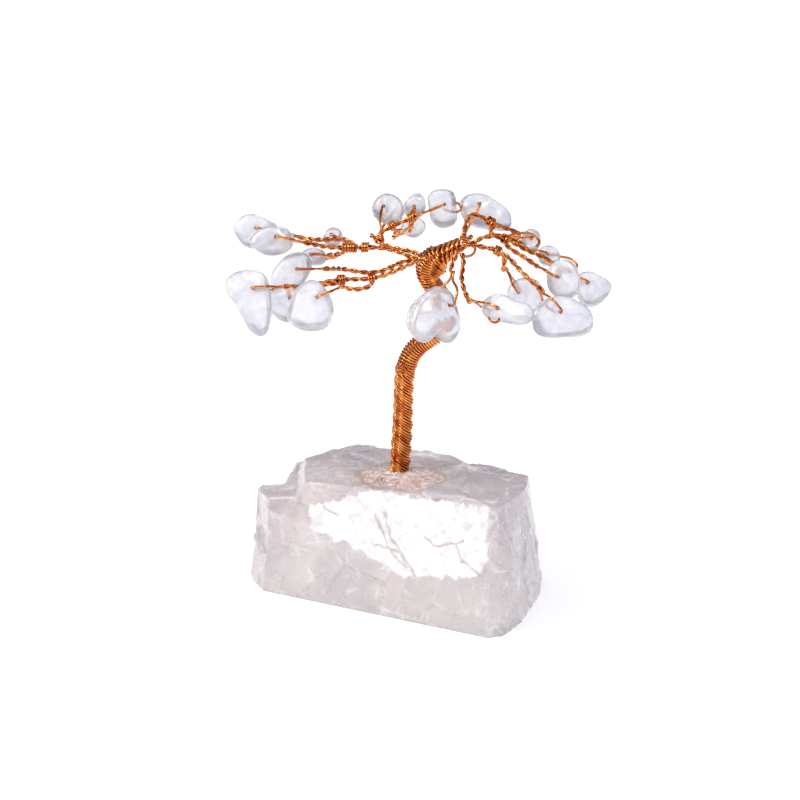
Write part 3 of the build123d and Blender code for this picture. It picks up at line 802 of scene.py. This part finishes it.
finish_piece(heart_of_trunk(), tree_body, "copper_wire", "trunk_core")
trunk_wires = laid("trunk_wires", 0.02, 0.50, [1.62, 1.62, 1.68, 1.60, 1.66], 13, 7.6 * MM, 3, 0.17 * MM)
finish_piece(trunk_wires, tree_body, "copper_wire", "trunk_lay")
knee = laid("knee_winding", 0.47, 0.862, [1.66, 1.74, 1.66, 1.72, 1.64, 1.70], 1, 0.53 * MM)
finish_piece(knee, tree_body, "copper_wire", "knee_wrap")
collar = laid("collar_winding", 0.842, 0.902, [1.75, 2.2, 2.75, 2.85], 1, 0.40 * MM, thick=0.22 * MM)
coil = laid("spine_coil", 0.900, 0.926, [2.6, 2.5, 2.3], 2, 1.1 * MM, thick=0.3 * MM)
rope = laid("spine_rope", 0.916, 1.0, [2.0, 1.7, 1.4, 1.2, 1.0], 6, 6.0 * MM, thick=0.36 * MM)
finish_piece(joined("crown_winding", [collar, coil, rope]), tree_body, "copper_wire", "crown_wrap")


# Twigs

def twig_loop(chip, neck_way, ends):
    """The wire from one strand's end over the chip's face, through its hole and back to the other strand."""
    height = chip.loop_height()
    shoulder = chip.loop_shoulder(neck_way)
    exit_height = height - loop_bend
    stations = [(shoulder, height, -neck_way), (loop_bend, height, -neck_way), (0, exit_height, -chip.axis),
                (0, -exit_height, -chip.axis), (loop_bend, -height, neck_way), (shoulder, -height, neck_way)]
    places = [(ends[0], -neck_way)]
    places += [(chip.hole + neck_way * n + chip.axis * a, heading) for n, a, heading in stations]
    places += [(ends[1], neck_way)]
    pieces = []
    for (start, start_way), (end, end_way) in zip(places, places[1:]):
        span = (end - start).length * loop_slack_share
        pieces.append(hermite(np.array(start), np.array(start_way) * span,
                              np.array(end), np.array(end_way) * span, loop_steps))
    return np.concatenate(pieces + [np.array([tuple(ends[1])])])


def tie_turns(route, along, root, turns):
    """Turns of a twig's own wire round the twig that carries it, up to the start of one of its strands."""
    steps = max(8, round(abs(turns) * tie_steps))
    rise = tie_pitch * abs(turns)
    axis_way = route.way(along)
    middle = route.at(along)
    out = Vector(root) - middle
    out = (out - axis_way * out.dot(axis_way)).normalized()
    other = axis_way.cross(out)
    points = []
    for step in range(steps):
        left = 1 - step / steps
        angle = 2 * math.pi * turns * left
        radius = twist_offset + wire_r * 2.0
        shift = route.at(along - math.copysign(left, turns) * rise / route.length) - middle
        points.append(tuple(middle + shift + (out * math.cos(angle) + other * math.sin(angle)) * radius))
    return np.array(points)


class Twig:
    """A wire folded through a chip and twisted on itself, tied round what carries it."""

    def __init__(self, chip, root, root_way, route, seed, tie=None):
        self.chip = chip
        self.tie = tie
        self.neck_way = chip.towards(route[-1])
        fall = chip.loop_height() - pair_offset
        reach = max(chip.edge(self.neck_way) + neck_clearance, chip.loop_shoulder(self.neck_way) + fall)
        self.neck = chip.hole + self.neck_way * reach
        self.route = Route([root] + route + [self.neck], root_way, -self.neck_way)
        self.seed = seed

    def wire_line(self):
        """One wire: out along the twist, through the chip and home along the twist."""
        draw = random.Random(self.seed)
        count = len(self.route.points)
        back_share = 1 - self.route.along / self.route.length
        turns = self.route.length / twist_pitch
        wander = 0.35 * np.sin(back_share * turns * draw.uniform(1.1, 1.7) + draw.uniform(0, 6)) * back_share
        angle = -2 * math.pi * turns * back_share + wander * np.minimum(1, back_share * 6)
        sides = self.route.sides(self.chip.axis)
        others = np.cross(self.route.ways, sides)
        offsets = twist_offset * (1 + 0.06 * np.sin(np.arange(count) * 0.021 + draw.uniform(0, 6)))
        offset = (sides * np.cos(angle)[:, None] + others * np.sin(angle)[:, None]) * offsets[:, None]
        strand, other = self.route.points + offset, self.route.points - offset
        loop = twig_loop(self.chip, self.neck_way, (Vector(strand[-1]), Vector(other[-1])))
        line = np.concatenate([strand, loop[1:-1], other[::-1]])
        if self.tie:
            first = tie_turns(*self.tie, strand[0], first_tie)
            second = tie_turns(*self.tie, other[0], second_tie)
            line = np.concatenate([first, line, second[::-1]])
        return evenly(line, route_step * 1.3)


twigs = {}


def square_to(direction, ahead):
    return (direction - ahead * direction.dot(ahead)).normalized()


for number, (name, (along, way_out, shares)) in enumerate(side_twig_shares.items()):
    out = square_to(way(way_out), core.way(along))
    root = core.at(along) + out * (core_radius(along) + 2 * wire_r)
    twigs[name] = Twig(chips[name], root, out, [crown_point(s) for s in shares], side_twig_seed + number)

ring_r = (pair_r + rest_gap / 2) * math.sqrt(2)
spine_end, spine_way = core.at(1), core.way(1)
upright = square_to(up, spine_way)
for number, (name, (bearing, shares)) in enumerate(end_twig_shares.items()):
    side = Matrix.Rotation(math.radians(-bearing), 3, spine_way) @ upright
    root = spine_end + spine_way * wire_r + side * ring_r
    twigs[name] = Twig(chips[name], root, spine_way, [crown_point(s) for s in shares], end_twig_seed + number)

for number, (name, (carrier, along, way_out, shares)) in enumerate(branch_twig_shares.items()):
    route = twigs[carrier].route
    ahead = route.way(along)
    out = square_to(way(way_out), ahead)
    root = route.at(along) + out * (2 * pair_r + rest_gap)
    root_way = (ahead + out).normalized()
    twigs[name] = Twig(chips[name], root, root_way, [crown_point(s) for s in shares],
                       branch_twig_seed + number, (route, along))

# Loose ends and slack loops: how far each lies before its twig's neck, in millimetres, and the pixels of the
# photograph that it is seen at
hook_pixels = {
    "back_middle": (0.6, [(443, 209), (450, 211.5), (457, 212), (461, 208.5), (459.5, 204.5), (455, 203),
                          (452, 204.5)]),
    "right_rear_small": (3.0, [(546, 257), (556, 256.5), (566, 257.5), (574, 261), (577, 266), (574, 270)]),
    "right_rear": (3.0, [(508, 236), (517, 233.5), (527, 233), (535, 236), (539, 242.5), (536, 247)]),
    "front_right_long": (2.5, [(488, 317), (491, 321), (495, 322.5), (498.5, 321), (499, 318)]),
    "front_right_inner": (1.0, [(465, 247), (470, 245.5), (475, 248.5), (473, 254), (467, 256.5),
                                (461, 256)]),
}


def hook(name):
    """A bent end of wire, given by the pixels it is seen at, at the depth of a twig's neck."""
    nearer, pixels = hook_pixels[name]
    centre = picture_pixels / 2
    middle = np.array(foot) + np.array(up) * view_height * MM
    depth = (np.array(twigs[name].neck) - middle) @ view_far - nearer * MM
    scale = (view_distance + depth) / view_pixels
    points = [middle + view_far * depth + (np.array(across) * (x - centre) + view_up * (centre - y)) * scale
              for x, y in pixels]
    return Route(points).points


for name, twig in twigs.items():
    lines = [twig.wire_line()]
    if name in hook_pixels:
        lines.append(hook(name))
    wire = grow(name + "_wire", path_object(name, lines), wire_nodes, plain_wire)
    finish_piece(wire, tree_body, "copper_wire", name + "_twig")


# Base: the front facet, whose bright white is painted glare, and its cracks lie on the front, given across
# and up in millimetres

glare_facet_outline = [(-14.5, 19.7), (-7.0, 21.8), (-4.3, 23.7), (-1.7, 24.1), (10.3, 24.5), (21.9, 24.8),
                 (23.2, 16.0), (21.5, 12.1), (7.2, 9.1), (-5.9, 13.9), (-13.5, 15.1)]
crack_lines = [
    [(-0.5, 20.0), (3.0, 14.6), (7.0, 11.0)], [(1.3, 20.8), (3.6, 16.0), (6.7, 12.8), (8.6, 9.7)],
    [(-11.4, 19.8), (-9.8, 19.1), (-8.1, 18.8)], [(10.2, 17.6), (11.9, 16.8), (13.4, 16.3), (17.9, 18.1)],
    [(16.4, 17.1), (18.1, 14.6), (22.1, 12.5)], [(0.3, 14.5), (3.0, 14.6), (5.2, 13.8)]]

# Which way the front and top cleavages face, and where the top one lies, in millimetres
front_facet_way = np.array([0.02, -0.972, 0.235])
top_way = np.array([-0.0695, 0.0401, 0.9968])
top_reach = 11.96
half_height = 12.5


def line_distance(spots, line):
    """How far each spot is from a broken line."""
    least = np.full(len(spots), 1e9)
    for start, end in zip(np.array(line), np.array(line)[1:]):
        span = end - start
        share = np.clip((spots - start) @ span / span.dot(span), 0, 1)
        least = np.minimum(least, np.linalg.norm(spots - start - share[:, None] * span, axis=1))
    return least


def within(spots, outline):
    """Which spots lie inside an outline."""
    inside = np.zeros(len(spots), bool)
    for (x0, y0), (x1, y1) in zip(outline, outline[1:] + outline[:1]):
        crosses = (y0 > spots[:, 1]) != (y1 > spots[:, 1])
        at = x0 + (spots[:, 1] - y0) * (x1 - x0) / ((y1 - y0) or 1e-9)
        inside ^= crosses & (spots[:, 0] < at)
    return inside


def top_height(x, y):
    """Height of the top cleavage, in millimetres."""
    return half_height + (top_reach - top_way[0] * x - top_way[1] * y) / top_way[2]


def chipped(spot, size, shift):
    """Height of a surface broken into tilted flakes of this size, in millimetres, and the flakes' edges."""
    spot = spot / size + Vector((shift, shift, shift))
    near, centres = noise.voronoi(spot)
    tilt = noise.noise_vector(centres[0] * 7.3)
    edge = max(0.0, 1 - (near[1] - near[0]) * size / 0.45)
    return (spot - centres[0]).dot(tilt) * size * 0.16 - 0.02 * size * near[0], edge


def broken_off(places):
    """Two pieces gone from the top: a low ledge at the left end and a dip along the back on the right."""
    middle = np.array(foot) / MM + np.array([0, 0, view_height])
    side = (places - middle) @ np.array(across)
    level = (places - middle) @ view_up
    wavy = np.array([noise.noise(Vector(p) / 2.2) for p in places]) * 0.5
    ledge = np.interp(side + wavy, [-30, -22.6, -20.6, -17], [-16.9, -16.6, -11.5, 0])
    dip = np.interp(side + wavy, [5, 10, 14.5, 23, 24], [0, -10.5, -12.7, -13.3, 0])
    over = np.maximum(level - np.minimum(ledge, dip), 0)
    return places - np.outer(over / math.cos(view_rise), np.array(up))


def base_block():
    """The base: the solid's planes broken into flakes, with a ledge, a dip, a calmer front facet with painted
    white glare, cracks and painted glints on flake edges.
    """
    mesh = remeshed("base_rough", as_mesh("base", welded("base_stone")), rock_voxel)
    places = corners(mesh) / MM
    normals = corners(mesh, "normal")
    front = places[:, [0, 2]]
    facing = np.clip((normals @ front_facet_way - 0.90) / 0.06, 0, 1)
    ragged = np.array([0.9 * noise.noise(Vector(p) / 1.8) + 0.5 * noise.noise(Vector(p) / 0.7)
                       for p in places])
    wander = np.array([tuple(noise.noise_vector(Vector(p) / 1.6)) for p in places])[:, [0, 2]]
    edge = line_distance(front, glare_facet_outline + glare_facet_outline[:1])
    # Where the front facet lies: its white glare is painted in the material, and its relief is calmer here.
    glare_facet = np.clip((np.where(within(front, glare_facet_outline), edge, -edge) + ragged) / 0.5 + 0.5, 0, 1) * facing
    crack = np.zeros(len(places))
    for line in crack_lines:
        crack = np.maximum(crack, np.exp(-(line_distance(front + wander * 0.5, line) / 0.2) ** 2) * facing)
    height = []
    glint = np.zeros(len(places))
    for i, (place, smooth) in enumerate(zip(places, glare_facet)):
        spot = Vector(place)
        big, big_edge = chipped(spot, 9.0, 0)
        small, small_edge = chipped(spot, 4.6, 20)
        fine = chipped(spot, 3.2, 40)[0]
        patchy = max(0.0, noise.noise(spot / 3.0 + Vector((4, 4, 4))) * 2.2)
        rough = 1.1 * big + 0.55 * small
        crease = max(0.0, 1 - abs(noise.noise(spot / 3.4 + Vector((1, 5, 2)))) * 9)
        ripple = math.sin(spot.x * 1.1 + spot.z * 2.6 + 2.5 * noise.noise(spot / 4.0))
        calm = 1.1 * fine + 0.14 * noise.noise(spot / 1.6) - 0.18 * crease + 0.05 * ripple
        glint[i] = min(1.0, max(big_edge, small_edge) * patchy * (1 - 0.6 * smooth))
        height.append(max(-1.0, min(rough + (calm - rough) * smooth, 0.5)))
    height = (np.array(height) - 0.3 * crack) * np.clip(places[:, 2] / 1.5, 0, 1)
    places = broken_off(places)
    place_corners(mesh, (places + normals * height[:, None]) * MM)
    away = np.hypot((places[:, 0] - 0.5) / 10.5, (places[:, 1] + 4.0) / 9.5)
    stain = np.clip(1.3 - away * 1.1, 0, 1) * np.clip((normals[:, 2] - 0.5) * 3, 0, 1) * 0.75
    for name, values in (("painted_glare_facet", glare_facet), ("glue_stain", stain), ("crack", crack), ("glint", glint)):
        made = mesh.attributes.new(name, "FLOAT", "POINT")
        made.data.foreach_set("value", values.astype(np.float32))
    piece = placed("base_rock", mesh)
    soften(piece, 3)
    return settled(piece, base_rock)


def glue_mound():
    """A lumpy skin of glue round the trunk's foot, with grit in it."""
    rings, spokes = 26, 72
    points = []
    for ring in range(rings + 1):
        share = ring / rings
        for spoke in range(spokes):
            angle = 2 * math.pi * spoke / spokes
            reach = 1.9 + share * (7.6 + 1.4 * noise.noise(Vector((math.cos(angle), math.sin(angle), 4)) * 2))
            x = foot.x / MM + reach * math.cos(angle) + share * 0.8
            y = foot.y / MM + reach * math.sin(angle) * 0.74 - share * 1.6
            lump = 0.30 * noise.noise(Vector((x, y, 0)) / 1.1) + 0.35 * noise.noise(Vector((x, y, 3)) / 2.6)
            rise = 0.7 * (1 - share) ** 1.5 + lump * (1 - share ** 4) - 0.15 - 0.5 * share ** 4
            points.append((x * MM, y * MM, (top_height(x, y) + rise) * MM))
    faces = [(ring * spokes + spoke, ring * spokes + (spoke + 1) % spokes,
              (ring + 1) * spokes + (spoke + 1) % spokes, (ring + 1) * spokes + spoke)
             for ring in range(rings) for spoke in range(spokes)]
    mesh = bpy.data.meshes.new("glue")
    mesh.from_pydata(points, [], faces)
    return grow("glue_and_grit", placed("glue", mesh), grit_nodes,
                {"Density": 1.6e6, "Grain Radius": 0.34 * MM, "Seed": grit_seed, "Material": grit})


finish_piece(base_block(), tree_body, "base_quartz", "base_stone")
finish_piece(glue_mound(), tree_body, "glue", "root_mound")


# Stage: floor, light and camera

def stage():
    material, tree = new_material("white paper floor")
    surface = node(tree, "ShaderNodeBsdfDiffuse", {"Color": colour("#FFFFFF")})
    glow = node(tree, "ShaderNodeEmission", {"Color": colour("#FFFFFF"), "Strength": 0.12})
    both = node(tree, "ShaderNodeAddShader", None, {0: surface.outputs["BSDF"], 1: glow.outputs["Emission"]})
    node(tree, "ShaderNodeOutputMaterial", None, {"Surface": both.outputs["Shader"]})
    mesh = bpy.data.meshes.new("floor")
    mesh.from_pydata([(-3, -3, 0), (3, -3, 0), (3, 3, 0), (-3, 3, 0)], [], [(0, 1, 2, 3)])
    mesh.materials.append(material)
    floor = placed("floor", mesh)


def light(name, place, target, size, power, tint):
    lamp = bpy.data.lights.new(name, "AREA")
    lamp.shape, lamp.size, lamp.energy = "DISK", size, power
    lamp.color = colour(tint)[:3]
    holder = placed(name, lamp)
    holder.location = place
    holder.rotation_euler = (Vector(target) - Vector(place)).to_track_quat("-Z", "Y").to_euler()


def sky():
    """A bright ceiling over a darker horizon, which is what gives the copper its dark and bright bands."""
    world = bpy.data.worlds.new("studio")
    bpy.context.scene.world = world
    world.use_nodes = True
    tree = world.node_tree
    tree.nodes.clear()
    place = node(tree, "ShaderNodeTexCoord")
    parts = node(tree, "ShaderNodeSeparateXYZ", None, {"Vector": place.outputs["Generated"]})
    tone = ramp(tree, parts.outputs["Z"], 0.05, "#3A3A44", 0.60, "#EDF1FF")
    seen = ramp(tree, parts.outputs["Z"], 0.30, "#0C0C10", 0.85, "#D8DCEA")
    path = node(tree, "ShaderNodeLightPath")
    both = node(tree, "ShaderNodeMix", {"data_type": "RGBA"},
                {0: path.outputs["Is Glossy Ray"], 6: tone, 7: seen})
    back = node(tree, "ShaderNodeBackground", {"Strength": 1.0}, {"Color": both.outputs[2]})
    node(tree, "ShaderNodeOutputWorld", None, {"Surface": back.outputs["Background"]})


def camera():
    """The photograph's view."""
    back = up * math.sin(view_rise) - behind * math.cos(view_rise)
    target = foot + up * view_height * MM
    lens = bpy.data.cameras.new("camera")
    lens.sensor_fit, lens.sensor_width = "HORIZONTAL", sensor_mm
    lens.lens = sensor_mm * view_pixels / picture_pixels
    lens.clip_start, lens.clip_end = 0.01, 10
    holder = placed("camera", lens)
    holder.location = target + back * view_distance
    holder.rotation_euler = back.to_track_quat("Z", "Y").to_euler()
    bpy.context.scene.camera = holder


stage()
light("key", (-0.45, -0.30, 0.55), (0, 0, 0.04), 0.30, 1.6, "#FFF6E8")
light("fill", (0.35, -0.6, 0.3), (0, 0, 0.04), 0.5, 0.7, "#FFFFFF")
light("left glint", (-0.35, -0.45, 0.45), (0, 0, 0.06), 0.07, 1.3, "#FFEFD0")
light("right glint", (0.4, -0.25, 0.5), (0, 0, 0.06), 0.07, 0.9, "#FFEFD0")
sky()
camera()
bpy.context.scene.view_settings.view_transform = "Standard"
